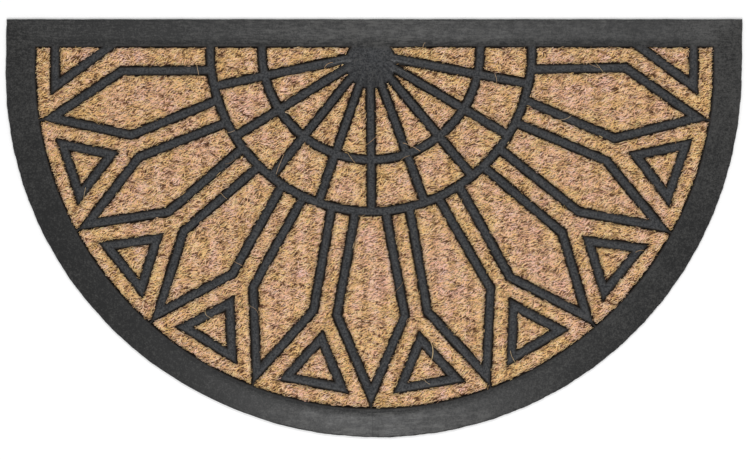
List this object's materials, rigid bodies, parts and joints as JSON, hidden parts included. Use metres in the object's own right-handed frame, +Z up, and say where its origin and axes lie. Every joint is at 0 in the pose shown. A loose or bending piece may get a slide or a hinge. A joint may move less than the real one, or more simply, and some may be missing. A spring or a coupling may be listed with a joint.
{
  "type": "half round coir doormat",
  "caption": "Half round doormat: woven coir sheet held in a rubber moulding with a sloping border and a fan of ribs, straight along one side.",
  "frame": {"origin": "on the underside, at the middle of the mat's bounding box", "axes": "+Z up out of the coir face; the straight edge lies towards +Y and the round edge towards -Y; +X along the straight edge"},
  "size_m": [0.7, 0.398, 0.008],
  "materials": {
    "rubber": "matt charcoal moulded rubber, faintly dusty, with smooth ribs and a trimmed outer edge",
    "coir": "bristly woven coconut fibre, tan with pinkish and straw-yellow patches"
  },
  "bodies": {
    "root": {"rubber_moulding": "rubber", "coir_sheet": "coir"}
  },
  "joints": []
}
